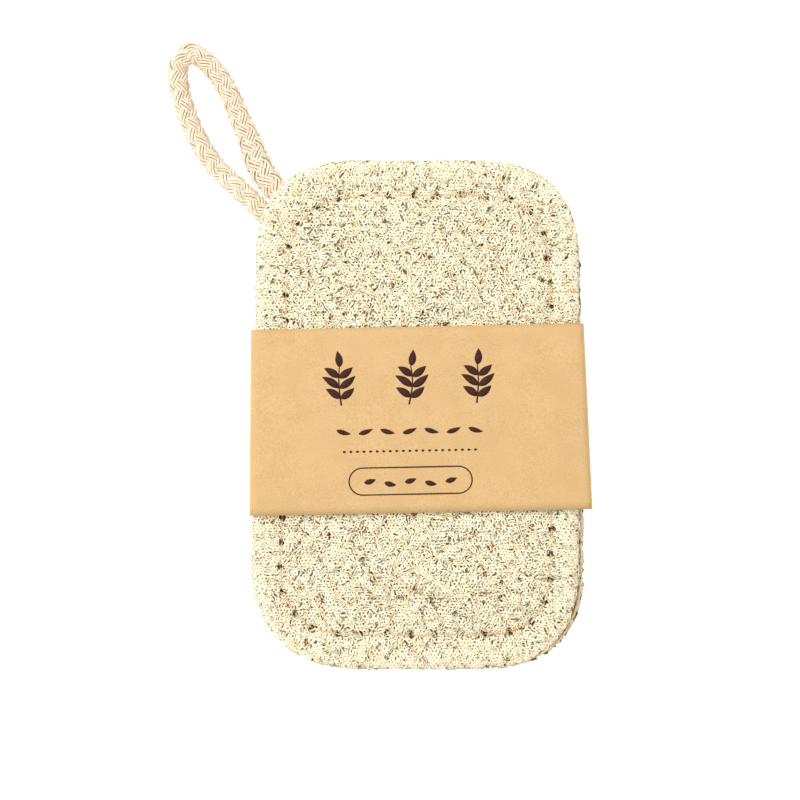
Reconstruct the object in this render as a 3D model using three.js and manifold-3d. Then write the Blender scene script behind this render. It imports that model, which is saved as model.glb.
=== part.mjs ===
// A flat scrubbing pad: two hand-cut sheets of dried loofah sewn together round the edge, with a hang loop of
// cotton cord in one corner and a band of kraft paper round the middle.
// Millimetres, +Z up. The pad lies on its back with its length along Y, and the origin is under its middle.

import * as THREE from "three";
import { mergeVertices } from "three/addons/utils/BufferGeometryUtils.js";
import Module from "manifold-3d";

const wasm = await Module();
wasm.setup();

// Clearance between pieces that touch, how far a cutter passes a face, and the shortest edge a cut leaves
const gap = 0.3;
const cutOver = 1;
const smallestEdge = 0.05;

// Loofah sheets: corners of the cut outline before rounding, and how far each corner's curve reaches along
// its sides. Corners go round from top left by bottom left and bottom right to top right.
const frontCorners = [[-38.4, 60], [-40.1, -60], [37.4, -60], [37.6, 60]];
const backCorners = [[-38.0, 59.6], [-39.5, -60.2], [39.1, -60.2], [37.6, 59.6]];
const padReaches = [23, 27, 24, 24];
const outlineCount = 72;
const raggedness = 0.15;
const sheetThickness = 6;
const edgeDrop = 1.2;
const edgeWidth = 6;

// Fibre net raised on each sheet: two crossing rows of strands on a warped lattice, with a pit in each mesh
// of the net. A share of the meshes has one more strand across.
const meshWidth = 8;
const meshLength = 9.8;
const crossingJitter = 0.9;
const strandWander = 0.5;
const pitDepth = 1.5;
const pitVariation = 0.3;
const pitShare = 0.56;
const extraStrandShare = 0.15;
const warpReach = 3;
const warpLengths = [17, 14];
const netMargin = 12;
const slabBottom = -2;
const frontSeed = 11;
const backSeed = 29;

// Seam: one closed row of lockstitches in a pressed-in groove, with a needle hole at each stitch
const seamCorners = [[-31.4, 52], [-33.4, -52.2], [31.3, -52.2], [30.4, 52.2]];
const seamReaches = [18, 17, 16, 16];
const stitchCount = 53;
const seamWobble = 0.2;
const seamSeed = 5;
const grooveWidth = 2.2;
const grooveDepth = 2.7;
const threadWidth = 0.7;
const legRadius = 0.27;
const legSides = 3;
const stitchArch = 0.5;
const needleHole = 1.3;

// Paper band: a strip round the pad, creased at the sides, with its two ends lapped and glued at the back
const paperThickness = 0.5;
const bandCentre = [-0.26, -1.08];
const bandLength = 44;
const bandTopWidth = 79;
const bandBottomWidth = 81.4;
const bandTurn = THREE.MathUtils.degToRad(1.15);
const creaseRadius = 1.1;
const creaseSteps = 3;
const lapHalfWidth = 7;
const lapStep = 1.6;
const lapShift = 0.3;
const glueDepth = 0.05;

// Heights follow from the paper, the sheets and the clearances between them
const lapTop = 2 * paperThickness;
const partingHeight = lapTop + gap + sheetThickness + gap / 2;
const bandTop = partingHeight + gap / 2 + sheetThickness + gap + paperThickness;
const grooveOffset = gap / 2 + sheetThickness - grooveDepth;

// Hang loop: the cord's centreline from the end of the left leg, round the loop, to the end of the right leg
const cordDiameter = 5;
const cordSides = 10;
const cordSteps = 46;
const floorClear = 0.1;
const cordRest = cordDiameter / 2 + floorClear;
const cordRoute = [
  [-23.6, 35.4, partingHeight],
  [-27.4, 38.7, partingHeight],
  [-32.2, 43.2, partingHeight],
  [-36.6, 47.6, partingHeight],
  [-39.9, 50.9, 6.9],
  [-43.9, 54.6, 5.4],
  [-49.1, 59.7, 3.6],
  [-53.2, 65.9, 2.8],
  [-56.2, 72.6, cordRest],
  [-58.0, 79.4, cordRest],
  [-58.1, 83.9, cordRest],
  [-55.7, 87.1, cordRest],
  [-53.0, 86.2, cordRest],
  [-49.4, 82.9, cordRest],
  [-46.0, 77.6, cordRest],
  [-43.4, 71.9, 2.8],
  [-40.4, 66.0, 3.6],
  [-38.0, 60.4, 5.4],
  [-34.6, 54.9, 6.9],
  [-30.4, 49.5, partingHeight],
  [-25.7, 44.7, partingHeight],
  [-21.6, 41.0, partingHeight],
];

// Colours seen in daylight
const loofahColour = 0xf0e7c8;
const backColour = 0xe2d2a4;
const threadColour = 0xd9b083;
const cordColour = 0xf3e6cb;
const paperColour = 0xeec58b;

// Seeded random numbers from 0 to 1
function seededRandom(seed) {
  let state = seed;
  return () => {
    state = (state * 1664525 + 1013904223) % 4294967296;
    return state / 4294967296;
  };
}

// Joins and cuts work on closed meshes whose shared corners are merged
function mergedCorners(geometry) {
  const plain = geometry.clone();
  plain.deleteAttribute("normal");
  plain.deleteAttribute("uv");
  return mergeVertices(plain);
}

function toSolid(geometry) {
  const merged = mergedCorners(geometry);
  const mesh = new wasm.Mesh({
    numProp: 3,
    vertProperties: Float32Array.from(merged.getAttribute("position").array),
    triVerts: Uint32Array.from(merged.getIndex().array),
  });
  return new wasm.Manifold(mesh);
}

function toGeometry(solid) {
  const mesh = solid.getMesh();
  const geometry = new THREE.BufferGeometry();
  geometry.setAttribute("position", new THREE.BufferAttribute(mesh.vertProperties, 3));
  geometry.setIndex(new THREE.BufferAttribute(mesh.triVerts, 1));
  geometry.computeVertexNormals();
  return geometry;
}

function indexedGeometry(positions, triangles) {
  const geometry = new THREE.BufferGeometry();
  geometry.setAttribute("position", new THREE.Float32BufferAttribute(positions, 3));
  geometry.setIndex(triangles);
  geometry.computeVertexNormals();
  return geometry;
}

// Sets a piece, whose heights count from the parting plane, on the front side or turned over on the back
function onSide(geometry, isFront) {
  const placed = mergedCorners(geometry);
  if (!isFront) {
    placed.scale(1, 1, -1);
    const index = placed.getIndex();
    for (let k = 0; k < index.count; k += 3) {
      const second = index.getX(k + 1);
      index.setX(k + 1, index.getX(k + 2));
      index.setX(k + 2, second);
    }
  }
  return placed.translate(0, 0, partingHeight);
}

// A four-sided outline whose corners are rounded by curves of the given reaches
function roundedOutline(corners, reaches) {
  const points = corners.map(([x, y]) => new THREE.Vector2(x, y));
  const shape = new THREE.Shape();
  points.forEach((corner, k) => {
    const before = points[(k + 3) % 4];
    const after = points[(k + 1) % 4];
    const start = corner.clone().add(before.clone().sub(corner).setLength(reaches[k]));
    const end = corner.clone().add(after.clone().sub(corner).setLength(reaches[k]));
    if (k === 0) {
      shape.moveTo(start.x, start.y);
    } else {
      shape.lineTo(start.x, start.y);
    }
    shape.quadraticCurveTo(corner.x, corner.y, end.x, end.y);
  });
  shape.closePath();
  return shape;
}

// Points along an outline, each with its unit normal, which points outward
function pointsWithNormals(shape, count) {
  const points = shape.getSpacedPoints(count).slice(0, count);
  return points.map((point, k) => {
    const before = points[(k + count - 1) % count];
    const after = points[(k + 1) % count];
    const along = after.clone().sub(before).normalize();
    return { point, normal: new THREE.Vector2(along.y, -along.x) };
  });
}

function shifted({ point, normal }, distance) {
  return point.clone().addScaledVector(normal, distance);
}

// Stations along an outline that was cut or sewn by hand, so each lies a little off it and has its own turn
function wobblyStations(corners, reaches, count, wobble, seed) {
  const random = seededRandom(seed);
  const stations = pointsWithNormals(roundedOutline(corners, reaches), count);
  return stations.map((station) => ({
    ...station,
    point: shifted(station, wobble * (2 * random() - 1)),
    turn: random() * Math.PI,
  }));
}

// Upright prism on a closed row of points, with an optional hole
function prism(points, low, high, holePoints) {
  const shape = new THREE.Shape(points);
  if (holePoints) {
    shape.holes.push(new THREE.Path(holePoints));
  }
  const geometry = new THREE.ExtrudeGeometry(shape, { depth: high - low, bevelEnabled: false });
  return geometry.translate(0, 0, low);
}

// Slab whose top is the fibre net. Heights are measured from the parting plane, and the slab reaches below it
// and past the outline on every side.
function netSlab(outline, seed) {
  const random = seededRandom(seed);
  const reachX = Math.max(...outline.map((point) => Math.abs(point.x))) + netMargin;
  const reachY = Math.max(...outline.map((point) => Math.abs(point.y))) + netMargin;
  const columns = Math.ceil((2 * reachX) / meshWidth);
  const rows = Math.ceil((4 * reachY) / meshLength);
  const positions = [];
  const triangles = [];

  const addVertex = (x, y, drop) => {
    const spot = new THREE.Vector2(x, y);
    const distance = Math.min(...outline.map((point) => point.distanceTo(spot)));
    const inward = Math.min(distance, edgeWidth) / edgeWidth;
    const face = gap / 2 + sheetThickness - edgeDrop * (1 - inward) ** 2;
    positions.push(x, y, face - drop);
    return positions.length / 3 - 1;
  };

  // Crossings of the strands, every second row half a mesh aside
  const crossings = [];
  for (let row = 0; row < rows; row += 1) {
    crossings.push([]);
    for (let column = 0; column < columns; column += 1) {
      const u = (column + 0.5 * (row % 2)) * meshWidth - reachX + crossingJitter * (2 * random() - 1);
      const v = (row * meshLength) / 2 - reachY + crossingJitter * (2 * random() - 1);
      const x = u + warpReach * Math.sin(v / warpLengths[0] + seed);
      const y = v + warpReach * Math.sin(u / warpLengths[1] + seed);
      crossings[row].push(addVertex(x, y, strandWander * random()));
    }
  }

  // A pit: walls from the strands round it down to a smaller, flat bottom
  const addPit = (ring) => {
    const x = ring.reduce((sum, corner) => sum + positions[3 * corner], 0) / ring.length;
    const y = ring.reduce((sum, corner) => sum + positions[3 * corner + 1], 0) / ring.length;
    const depth = pitDepth - pitVariation * random();
    const bottom = ring.map((corner) => {
      const pitX = THREE.MathUtils.lerp(x, positions[3 * corner], pitShare);
      const pitY = THREE.MathUtils.lerp(y, positions[3 * corner + 1], pitShare);
      return addVertex(pitX, pitY, depth);
    });
    ring.forEach((corner, k) => {
      const next = (k + 1) % ring.length;
      triangles.push(corner, ring[next], bottom[k], ring[next], bottom[next], bottom[k]);
    });
    for (let k = 1; k < ring.length - 1; k += 1) {
      triangles.push(bottom[0], bottom[k], bottom[k + 1]);
    }
  };
  for (let row = 0; row < rows - 2; row += 1) {
    const shift = row % 2;
    for (let column = 1; column < columns - 1; column += 1) {
      const bottom = crossings[row][column];
      const right = crossings[row + 1][column + shift];
      const top = crossings[row + 2][column];
      const left = crossings[row + 1][column + shift - 1];
      if (random() < extraStrandShare) {
        addPit([bottom, right, left]);
        addPit([right, top, left]);
      } else {
        addPit([bottom, right, top, left]);
      }
    }
  }

  // The same triangles, turned down, close the slab below, and a skirt joins the two along the open edges
  const edges = new Map();
  for (let k = 0; k < triangles.length; k += 3) {
    for (let side = 0; side < 3; side += 1) {
      const from = triangles[k + side];
      const to = triangles[k + ((side + 1) % 3)];
      if (!edges.delete(`${to} ${from}`)) {
        edges.set(`${from} ${to}`, [from, to]);
      }
    }
  }
  const below = positions.length / 3;
  const topTriangles = [...triangles];
  for (let k = 0; k < below; k += 1) {
    positions.push(positions[3 * k], positions[3 * k + 1], slabBottom);
  }
  for (let k = 0; k < topTriangles.length; k += 3) {
    const [a, b, c] = topTriangles.slice(k, k + 3);
    triangles.push(below + a, below + c, below + b);
  }
  for (const [from, to] of edges.values()) {
    triangles.push(from, below + from, to);
    triangles.push(to, below + from, below + to);
  }
  return indexedGeometry(positions, triangles);
}

// Seam line, its groove and its needle holes
const seam = wobblyStations(seamCorners, seamReaches, stitchCount, seamWobble, seamSeed);
const grooveOuter = seam.map((station) => shifted(station, grooveWidth / 2));
const grooveInner = seam.map((station) => shifted(station, -grooveWidth / 2));

function needleHoles() {
  const holes = seam.map(({ point, turn }) => {
    const hole = new THREE.BoxGeometry(needleHole, needleHole, bandTop);
    hole.rotateZ(turn);
    return toSolid(hole.translate(point.x, point.y, partingHeight));
  });
  return wasm.Manifold.union(holes);
}

// Hang loop cord, at its own radius or at the wider one of its channel between the sheets
function cordTube(radius) {
  const points = cordRoute.map(([x, y, z]) => new THREE.Vector3(x, y, z));
  const path = new THREE.CatmullRomCurve3(points, false, "centripetal");
  const section = [];
  for (let k = 0; k < cordSides; k += 1) {
    const angle = (2 * Math.PI * k) / cordSides;
    section.push(new THREE.Vector2(radius * Math.cos(angle), radius * Math.sin(angle)));
  }
  return new THREE.ExtrudeGeometry(new THREE.Shape(section), {
    steps: cordSteps,
    extrudePath: path,
    bevelEnabled: false,
  });
}

const holesCut = needleHoles();
const channelCut = toSolid(cordTube(cordDiameter / 2 + gap));

function loofahSheet(corners, seed, isFront) {
  const stations = wobblyStations(corners, padReaches, outlineCount, raggedness, seed);
  const outline = stations.map(({ point }) => point);
  const top = gap / 2 + sheetThickness;
  const block = toSolid(onSide(prism(outline, gap / 2, top + cutOver), isFront));
  const net = toSolid(onSide(netSlab(outline, seed), isFront));
  const groove = toSolid(onSide(prism(grooveOuter, grooveOffset, top + cutOver, grooveInner), isFront));
  const sheet = block.intersect(net).subtract(groove).subtract(holesCut).subtract(channelCut);
  return toGeometry(sheet.simplify(smallestEdge));
}

// Thread of one face: a closed ring of low arches in the groove, with a leg down each needle hole
function seamThread(isFront) {
  const half = threadWidth / 2;
  const rest = grooveOffset + gap + half;
  const positions = [];
  const triangles = [];
  seam.forEach((station, k) => {
    const next = seam[(k + 1) % stitchCount];
    const middle = {
      point: station.point.clone().lerp(next.point, 0.5),
      normal: station.normal.clone().add(next.normal).normalize(),
    };
    const stops = [{ ...station, z: rest }, { ...middle, z: rest + stitchArch }];
    for (const stop of stops) {
      for (const [side, lift] of [[-1, -1], [-1, 1], [1, 1], [1, -1]]) {
        const corner = shifted(stop, side * half);
        positions.push(corner.x, corner.y, stop.z + lift * half);
      }
    }
  });
  const rings = 2 * stitchCount;
  for (let ring = 0; ring < rings; ring += 1) {
    for (let side = 0; side < 4; side += 1) {
      const a = 4 * ring + side;
      const b = 4 * ring + ((side + 1) % 4);
      const c = 4 * ((ring + 1) % rings) + side;
      const d = 4 * ((ring + 1) % rings) + ((side + 1) % 4);
      triangles.push(a, b, c, b, d, c);
    }
  }
  const ringSolid = toSolid(indexedGeometry(positions, triangles));
  const legLow = gap / 2;
  const legs = seam.map(({ point, turn }) => {
    const leg = new THREE.CylinderGeometry(legRadius, legRadius, rest - legLow, legSides);
    leg.rotateX(Math.PI / 2);
    leg.rotateZ(turn);
    return toSolid(leg.translate(point.x, point.y, (rest + legLow) / 2));
  });
  return onSide(toGeometry(wasm.Manifold.union([ringSolid, ...legs])), isFront);
}

// Section of the band across the pad, creased at four corners. The inner end of the strip steps up over the
// outer end at the back, which leaves a small notch outside and a doubled thickness inside.
function bandSection() {
  const half = (bandTopWidth + bandBottomWidth) / 4;
  const creased = (inset) => {
    const low = inset;
    const high = bandTop - inset;
    const reach = half - inset;
    const radius = creaseRadius - inset;
    const turns = [[reach, low, -0.5], [reach, high, 0], [-reach, high, 0.5], [-reach, low, 1]];
    return turns.flatMap(([side, level, quarter]) => {
      const middleX = side - Math.sign(side) * radius;
      const middleZ = level === low ? low + radius : high - radius;
      const points = [];
      for (let k = 0; k <= creaseSteps; k += 1) {
        const angle = Math.PI * (quarter + (0.5 * k) / creaseSteps);
        const x = middleX + radius * Math.cos(angle);
        points.push(new THREE.Vector2(x, middleZ + radius * Math.sin(angle)));
      }
      return points;
    });
  };
  const outside = [
    new THREE.Vector2(lapHalfWidth, 0),
    new THREE.Vector2(lapHalfWidth, paperThickness - glueDepth),
    new THREE.Vector2(lapHalfWidth + lapStep, 0),
    ...creased(0),
  ];
  const inside = [
    new THREE.Vector2(-lapHalfWidth, paperThickness),
    new THREE.Vector2(-lapHalfWidth, lapTop),
    new THREE.Vector2(lapHalfWidth + lapShift, lapTop),
    new THREE.Vector2(lapHalfWidth + lapShift + lapStep, paperThickness),
    ...creased(paperThickness),
  ];
  return { outside, inside };
}

function paperBand() {
  const { outside, inside } = bandSection();
  const geometry = prism(outside, 0, bandLength, inside);
  geometry.rotateX(Math.PI / 2);
  geometry.translate(0, bandLength / 2, 0);
  const place = geometry.getAttribute("position");
  const meanWidth = (bandTopWidth + bandBottomWidth) / 2;
  for (let k = 0; k < place.count; k += 1) {
    const share = place.getY(k) / bandLength + 0.5;
    const width = THREE.MathUtils.lerp(bandBottomWidth, bandTopWidth, share);
    place.setX(k, (place.getX(k) * width) / meanWidth);
  }
  geometry.rotateZ(bandTurn);
  geometry.translate(bandCentre[0], bandCentre[1], 0);
  return geometry;
}

function addPiece(group, name, geometry, colour, roughness) {
  const material = new THREE.MeshStandardMaterial({ color: colour, roughness, metalness: 0 });
  const mesh = new THREE.Mesh(geometry, material);
  mesh.name = name;
  group.add(mesh);
}

const pad = new THREE.Group();
const hangLoop = toSolid(cordTube(cordDiameter / 2)).subtract(holesCut);
addPiece(pad, "loofah_front", loofahSheet(frontCorners, frontSeed, true), loofahColour, 0.9);
addPiece(pad, "loofah_back", loofahSheet(backCorners, backSeed, false), backColour, 0.9);
addPiece(pad, "seam_thread_front", seamThread(true), threadColour, 0.8);
addPiece(pad, "seam_thread_back", seamThread(false), threadColour, 0.8);
addPiece(pad, "hang_loop", toGeometry(hangLoop), cordColour, 0.85);
addPiece(pad, "paper_band", paperBand(), paperColour, 0.8);

export default pad;
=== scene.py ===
"""A sewn loofah scrubbing pad with a braided hang loop and a kraft-paper band, dressed for close views.

Shapes are worked out in millimetres in the CAD model's frame, and become metres when a mesh is made.
"""
import itertools
import math
import bpy
import numpy as np
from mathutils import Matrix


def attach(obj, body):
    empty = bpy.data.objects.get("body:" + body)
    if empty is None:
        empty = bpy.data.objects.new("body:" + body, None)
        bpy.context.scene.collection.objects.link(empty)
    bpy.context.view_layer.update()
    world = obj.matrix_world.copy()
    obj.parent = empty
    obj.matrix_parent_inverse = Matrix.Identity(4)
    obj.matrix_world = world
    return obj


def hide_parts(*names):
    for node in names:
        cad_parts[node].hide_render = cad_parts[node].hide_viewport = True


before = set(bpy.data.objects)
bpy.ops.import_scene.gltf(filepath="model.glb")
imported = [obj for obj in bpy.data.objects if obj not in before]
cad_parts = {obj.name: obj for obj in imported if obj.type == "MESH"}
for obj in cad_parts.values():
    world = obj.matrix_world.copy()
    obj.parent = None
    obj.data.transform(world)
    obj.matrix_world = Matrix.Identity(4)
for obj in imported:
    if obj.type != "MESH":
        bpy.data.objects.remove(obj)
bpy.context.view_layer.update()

MM = 0.001
TURN = 2 * math.pi

# Heights: the plane between the two sheets, and the highest fibre lines of a face above that plane
PARTING = 7.45
CROWN = 5.8

# Cut outlines of the sheets and the line of the seam: corners from top left round by bottom left, and how
# far each corner's curve reaches along its sides
FRONT_CORNERS = [(-38.4, 60.0), (-40.1, -60.0), (37.4, -60.0), (37.6, 60.0)]
BACK_CORNERS = [(-38.0, 59.6), (-39.5, -60.2), (39.1, -60.2), (37.6, 59.6)]
PAD_REACHES = [23, 27, 24, 24]
SEAM_CORNERS = [(-31.4, 52.0), (-33.4, -52.2), (31.3, -52.2), (30.4, 52.2)]
SEAM_REACHES = [18, 17, 16, 16]
STITCHES = 53
SEAM_WOBBLE = 0.2
SEAM_SEED = 5
OUTLINE_STATIONS = 720
EDGE_GROWTH = 1.008
EDGE_RAGGED = (-0.15, 0.25)
FRONT_SEED = 41
BACK_SEED = 57

# Face of a sheet: rounded edge, dip along the seam, and slow waves
EDGE_RADIUS = 2.8
SEAM_DIP = 0.9
SEAM_DIP_WIDTH = 1.7
FACE_WAVE = 0.1
GRID_LOW = (-48.0, -68.0)
GRID_STEP = 0.5
PORE_GRID_STEP = 0.2
PORE_WINDOW = 14
FIELD_AREA = 4 * GRID_LOW[0] * GRID_LOW[1]

# Loose fibres: width, step between points, bends, unevenness, and lengths in points with their shares
FIBRE_RADIUS = 0.2
FIBRE_STEP = 0.8
FIBRE_LEAN = 0.4
FIBRE_WIGGLE = 0.45
WIGGLE_LENGTHS = (3.0, 8.0)
WEAVE = 0.13
WEAVE_LENGTHS = (2.5, 6)
LIFT_SPREAD = 0.1
WIDTH_SPREAD = (0.75, 1.25)
SHADE_SPREAD = 0.16
LENGTH_GROUPS = [(5, 0.3), (8, 0.4), (14, 0.3)]
BUNDLE_GROUPS = [(20, 0.5), (32, 0.5)]
FLOW_TURN = 3.4
RIM_PULL = 2.2
RIM_WIDTH = 6.0
RIM_STRAY = (-0.35, 0.3)
BAND_KEEP = 0.4
HIDDEN_SHARE = 0.3

# Nets of fibre: spacing of cells outside and inside, pores and pits, unevenness, tones and openness
FRONT_SPACINGS = (0.8, 1.3)
BACK_SPACINGS = (1.0, 1.8)
INNER_DEPTH = 0.5
# The inner net sits low on the tan ramp: painted shade deep in the pores
INNER_SHADED_TONE = 0.25
NET_TONE = 0.6
NET_HALF = (43, 63)
NET_EDGE = 0.2
PORE_SPACING = 4.2
PORE_RADII = (0.02, 0.25)
PORE_ANGLE_SPREAD = 0.6
NEEDLE_RADIUS = 0.46
PITS = 150
PIT_SHARE = 0.5
NEEDLE_SHARE = 0.72
NET_THICKNESS = 0.4
NET_JITTER = 0.25
NET_WARP = 0.15
NET_WANDER = 0.045
NET_TONES = 0.08
# Painted shade on the bars of a net: how far the tone drops at the holes' rims and underneath
PAINTED_SIDE_SHADE = 0.16
PAINTED_UNDER_SHADE = 0.55
HOLE_SHARE = 0.33
HOLE_SPREAD = 0.2
HOLE_PATCHES = 0.01
HOLE_LIMITS = (0.08, 0.82)
HOLE_STRETCH = 1.75
NEEDLE_COLLAR = 0.25
COLLAR_WIDTH = 1.4
EDGE_CLOSING = 0.24
CLOSING_WIDTH = 4.5
OPEN_SHARE = 0.88

# Cut edge of a sheet: its net and the loose fibres on it, lapping the face and tucked in at the parting
RIM_SPACING = 1.0
RIM_NET_DEPTH = 0.05
RIM_NET_LAP = 0.5
RIM_NET_TUCK = 0.6
RIM_TURN = 0.5
RIM_COVER = 0.2
RIM_LAP = 0.35
RIM_TUCK = 0.5
RIM_FOOT = 0.1
RIM_LEAN = 0.6
RIM_TONE = 0.7

# Mat: the closed inside of a sheet, in rings from its edge to its middle, with a pit at each needle hole
MAT_RINGS = [(1, 0.92, 4), (0.91, 0.77, 28), (0.74, 0.02, 16)]
MAT_PIT = 0.7
MAT_ROOF = 0.3
MAT_FLOOR = 0.2
MAT_DEPTH = 1.1
MAT_GROOVE = 1.7
MAT_INSET = 0.9
MAT_FLOOR_RINGS = 9

# Paper band: a strip lapped at the back
PAPER = 0.42
BAND_CENTRE = (-0.26, -1.08)
BAND_LENGTH = 44.0
BAND_COVER = BAND_LENGTH / 2 - 4.5
BAND_TOP_WIDTH = 79.0
BAND_BOTTOM_WIDTH = 81.4
BAND_TURN = math.radians(1.15)
BAND_LOW = 0.25
BAND_HIGH = 14.15
LAP_LEVEL = 0.75
LAP_HALF = 7.0
LAP_STEP = 1.4
LAP_GAP = 0.3
CREASE_RADIUS = 0.9
PAPER_RIPPLE = 0.1
RIPPLE_FROM = 10
RIPPLE_FADE = 4
PAPER_STEP = 1.1
PAPER_STATIONS = 23

# Ornament printed on the band, in the band's own directions
INK_RISE = 0.03
INK_SINK = 0.05
PRINT_CENTRE = -2.3
PILL_WIDTH = 29.1
PILL_HEIGHT = 6.4
PILL_LEVEL = -14.4
PILL_LEAF_STEP = 4.8
SPRIG_STEP = 16
SPRIG_LEVEL = 10
SPRIG_HEIGHT = 11.5
LEAF_STEP = 5.2
LEAF_LEVEL = -2.6
DOT_STEP = 1.55
DOT_LEVEL = -7.3

# Hang loop: the cord's route from the end of the left leg round to the end of the right leg
CORD_ROUTE = [
    (-23.6, 35.4, 7.45), (-27.4, 38.7, 7.45), (-32.2, 43.2, 7.45), (-36.6, 47.6, 7.45),
    (-39.9, 50.9, 6.9), (-43.9, 54.6, 5.4), (-49.1, 59.7, 3.6), (-53.2, 65.9, 2.8),
    (-56.2, 72.6, 2.6), (-58.0, 79.4, 2.6), (-58.1, 83.9, 2.6), (-55.7, 87.1, 2.6),
    (-53.0, 86.2, 2.6), (-49.4, 82.9, 2.6), (-46.0, 77.6, 2.6), (-43.4, 71.9, 2.8),
    (-40.4, 66.0, 3.6), (-38.0, 60.4, 5.4), (-34.6, 54.9, 6.9), (-30.4, 49.5, 7.45),
    (-25.7, 44.7, 7.45), (-21.6, 41.0, 7.45),
]
BRAID_STRANDS = 4
BRAID_PITCH = 19.0
BRAID_START = math.radians(67.5)
YARNS = 4
YARN_REACH = (YARNS - 1) / 2
YARN_TONES = 0.08
YARN_RADIUS = 0.3
YARN_SPACING = 0.66
YARN_STEP = 0.6
YARN_SIDES = 6
BRAID_LIFT = 0.3
STRAND_CROWN = 0.3
BRAID_RADIUS = 2.72
CORD_RAISE = 0.12
CORD_CORE = 1.75
CORE_SIDES = 12
CORE_TONE = 0.1
FLAT_PLACE = 0.8
FLAT_REACH = 0.08
FLAT_GROWTH = 0.3
CORD_CLEAR = 2.9

# Seam thread: two plies twisted together
PLY_RADIUS = 0.18
PLY_OFFSET = 0.16
PLY_PITCH = 2.1
STITCH_POINTS = 18
STITCH_DIVE = 3.0
STITCH_RISE = -0.16
STITCH_SHARPNESS = 10
THREAD_STEP = 0.4
PLY_SIDES = 5

# Stage, in metres
CAMERA_PLACE = (-0.00478, 0.00355, 0.6448)
CAMERA_LENS = 120
KEY_PLACE = (-0.45, 0.35, 0.9)
KEY_TURN = (math.radians(-21), math.radians(-27), 0)
KEY_ENERGY = 8.7
KEY_SIZE = 0.9
WORLD_LIGHT = 0.7
FLOOR_GLOW = 0.55


def mesh_piece(name, points, faces, material, nodes, tones=None):
    """A smooth mesh piece from points in millimetres and arrays of faces with equal corner counts."""
    mesh = bpy.data.meshes.new(name)
    corners = np.concatenate([part.ravel() for part in faces]).astype(np.int32)
    sizes = np.concatenate([np.full(len(part), part.shape[1]) for part in faces])
    starts = (np.cumsum(sizes) - sizes).astype(np.int32)
    mesh.vertices.add(len(points))
    mesh.vertices.foreach_set("co", (np.asarray(points) * MM).astype(np.float32).ravel())
    mesh.loops.add(len(corners))
    mesh.loops.foreach_set("vertex_index", corners)
    mesh.polygons.add(len(sizes))
    mesh.polygons.foreach_set("loop_start", starts)
    mesh.polygons.foreach_set("use_smooth", np.ones(len(sizes), dtype=bool))
    mesh.update(calc_edges=True)
    mesh.validate()
    if tones is not None:
        tone = mesh.attributes.new("tone", "FLOAT", "POINT")
        tone.data.foreach_set("value", np.asarray(tones, dtype=np.float32))
    mesh.materials.append(material)
    piece = bpy.data.objects.new(name, mesh)
    bpy.context.scene.collection.objects.link(piece)
    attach(piece, "root")
    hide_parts(*nodes)
    return piece


def unit(vectors):
    lengths = np.linalg.norm(vectors, axis=-1, keepdims=True)
    return vectors / np.maximum(lengths, 1e-9)


class Parts:
    """Gathers meshes of several kinds into one set of points and faces."""

    def __init__(self):
        self.points = []
        self.faces = {}
        self.tones = []
        self.count = 0

    def add(self, points, faces, tones):
        for part in faces:
            self.faces.setdefault(part.shape[1], []).append(part + self.count)
        self.points.append(points)
        self.tones.append(np.broadcast_to(tones, len(points)))
        self.count += len(points)

    def piece(self, name, material, slot, *nodes):
        faces = [np.concatenate(parts) for parts in self.faces.values()]
        points = np.concatenate(self.points)
        return mesh_piece(name, points, faces, material, nodes, np.concatenate(self.tones))


def tubes(paths, radii, sides, up):
    """Closed tubes along many paths, an array (tubes, steps, 3), with one edge of each towards up."""
    count, steps = paths.shape[:2]
    along = unit(np.gradient(paths, axis=1))
    across = unit(np.cross(np.broadcast_to(up, paths.shape), along))
    lift = np.cross(along, across)
    angles = TURN * (np.arange(sides) / sides + 0.25)
    ring = (
        np.cos(angles)[:, None] * across[:, :, None] + np.sin(angles)[:, None] * lift[:, :, None]
    )
    points = paths[:, :, None] + np.broadcast_to(radii, (count, steps))[..., None, None] * ring
    index = np.arange(count * steps * sides).reshape(count, steps, sides)
    beside = np.roll(index, -1, axis=2)
    walls = np.stack([index[:, :-1], beside[:, :-1], beside[:, 1:], index[:, 1:]], axis=-1)
    caps = np.concatenate([index[:, 0, ::-1], index[:, -1]])
    return points.reshape(-1, 3), [walls.reshape(-1, 4), caps]


def smooth_line(points, spacing):
    """Centripetal Catmull-Rom curve through the points, at an even spacing."""
    points = np.asarray(points, dtype=float)
    padded = np.vstack([2 * points[0] - points[1], points, 2 * points[-1] - points[-2]])
    dense = []
    for k in range(1, len(padded) - 2):
        p = padded[k - 1:k + 3]
        knots = np.concatenate([[0], np.cumsum(np.linalg.norm(np.diff(p, axis=0), axis=1) ** 0.5)])
        t = np.linspace(knots[1], knots[2], 40, endpoint=False)[:, None]
        a = [
            (knots[i + 1] - t) / (knots[i + 1] - knots[i]) * p[i]
            + (t - knots[i]) / (knots[i + 1] - knots[i]) * p[i + 1]
            for i in range(3)
        ]
        b = [
            (knots[i + 2] - t) / (knots[i + 2] - knots[i]) * a[i]
            + (t - knots[i]) / (knots[i + 2] - knots[i]) * a[i + 1]
            for i in range(2)
        ]
        span = knots[2] - knots[1]
        dense.append((knots[2] - t) / span * b[0] + (t - knots[1]) / span * b[1])
    return evenly(np.vstack(dense + [points[-1:]]), spacing)


def run_along(line):
    """Length of a line from its first point to each of its points."""
    return np.concatenate([[0], np.cumsum(np.linalg.norm(np.diff(line, axis=0), axis=1))])


def at_lengths(line, lengths, places):
    """Points of a line at places given as lengths along it."""
    return np.stack([np.interp(places, lengths, column) for column in line.T], axis=-1)


def evenly(points, spacing):
    """The same line with points at an even spacing close to the one asked for."""
    lengths = run_along(points)
    places = np.linspace(0, lengths[-1], max(2, round(lengths[-1] / spacing) + 1))
    return at_lengths(points, lengths, places)


def taper(steps):
    """Widths along a fibre of so many points, narrower at both ends."""
    return np.interp(np.arange(steps), [0, 1, steps - 2, steps - 1], [0.5, 1, 1, 0.5])


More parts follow.
